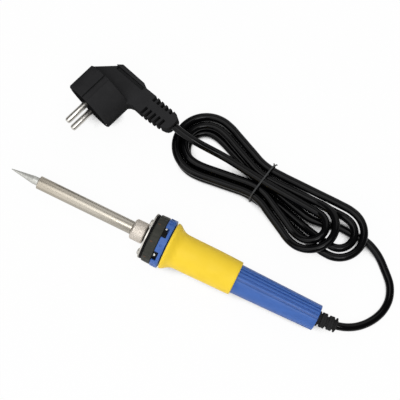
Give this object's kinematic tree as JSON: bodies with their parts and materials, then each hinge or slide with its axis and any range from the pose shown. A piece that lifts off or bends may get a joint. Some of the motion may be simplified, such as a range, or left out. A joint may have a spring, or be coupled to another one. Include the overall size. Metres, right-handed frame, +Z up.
{
  "type": "soldering iron",
  "caption": "Corded soldering iron with a needle tip, heat-setting dial ring, blue handle with a flared yellow foam grip, and its tied mains cord with an angled plug.",
  "frame": {"origin": "on the bench, under the middle of the iron without its cord", "axes": "+X along the iron towards its tail and cord boot, +Y to the side where the tied cord and the plug lie, +Z up"},
  "size_m": [0.2776, 0.122, 0.0419],
  "materials": {
    "plated_tip": "iron-plated copper, satin",
    "sleeve_steel": "drawn stainless tube",
    "nut_steel": "nickel-plated, knurled",
    "plate_steel": "zinc-plated steel",
    "screw_steel": "zinc-plated",
    "black_board": "phenolic sheet",
    "dial_grey": "moulded, fine matt",
    "hub_black": "moulded",
    "brass": "spring brass",
    "track_brown": "paper laminate with carbon track",
    "blue_plastic": "moulded, satin",
    "yellow_foam": "closed-cell foam",
    "ceramic": "fired, unglazed",
    "board_green": "glass-fibre laminate",
    "part_black": "moulded epoxy",
    "part_red": "dipped epoxy",
    "part_tan": "lacquered",
    "sleeving_white": "glass-fibre sleeving",
    "lead_orange": "PVC insulation",
    "wire_brown": "PVC insulation",
    "wire_blue": "PVC insulation",
    "wire_green": "PVC insulation",
    "nylon": "moulded nylon",
    "boot_rubber": "moulded PVC",
    "cord_pvc": "extruded PVC sheath",
    "tie_black": "PVC-coated wire",
    "plug_pvc": "moulded PVC",
    "carrier_black": "moulded",
    "pin_metal": "nickel-plated brass"
  },
  "bodies": {
    "handle": {"heater_mount": "plate_steel", "flange_screws": "screw_steel", "insulating_disc": "black_board", "heater_rod": "ceramic", "heater_leads": "sleeving_white", "dial_hub": "hub_black", "track_board": "track_brown", "track_leads": "lead_orange", "handle_shell": "blue_plastic", "foam_grip": "yellow_foam", "control_board": "board_green", "triac": "part_black", "film_capacitor": "part_red", "resistor": "part_tan", "live_wire": "wire_brown", "neutral_wire": "wire_blue", "earth_wire": "wire_green", "cord_anchor": "nylon", "cord_boot": "boot_rubber", "cord_tail": "cord_pvc", "cord_hank": "cord_pvc", "cord_lead": "cord_pvc", "cord_tie": "tie_black", "plug_body": "plug_pvc", "pin_carrier": "carrier_black", "plug_pins": "pin_metal", "earth_strips": "pin_metal"},
    "dial": {"dial_ring": "dial_grey", "dial_wiper": "brass"},
    "sleeve": {"tip": "plated_tip", "tip_sleeve": "sleeve_steel"},
    "nut": {"sleeve_nut": "nut_steel"}
  },
  "joints": [
    {"name": "dial_turn", "type": "hinge", "parent": "handle", "child": "dial", "pos_m": [-0.00642, 0, 0.01852], "axis": [-0.9972, 0, 0.0748], "range_deg": [-120, 150]},
    {"name": "sleeve_slide", "type": "slide", "parent": "handle", "child": "sleeve", "axis": [-0.9972, 0, 0.0748], "range_m": [0, 0.004]},
    {"name": "nut_turn", "type": "hinge", "parent": "sleeve", "child": "nut", "pos_m": [-0.01978, 0, 0.01952], "axis": [-0.9972, 0, 0.0748], "range_deg": [0, 1440]}
  ],
  "couplings": [
    {"joint": "nut_turn", "follows": "sleeve_slide", "rad_per_m": 6283.1}
  ]
}
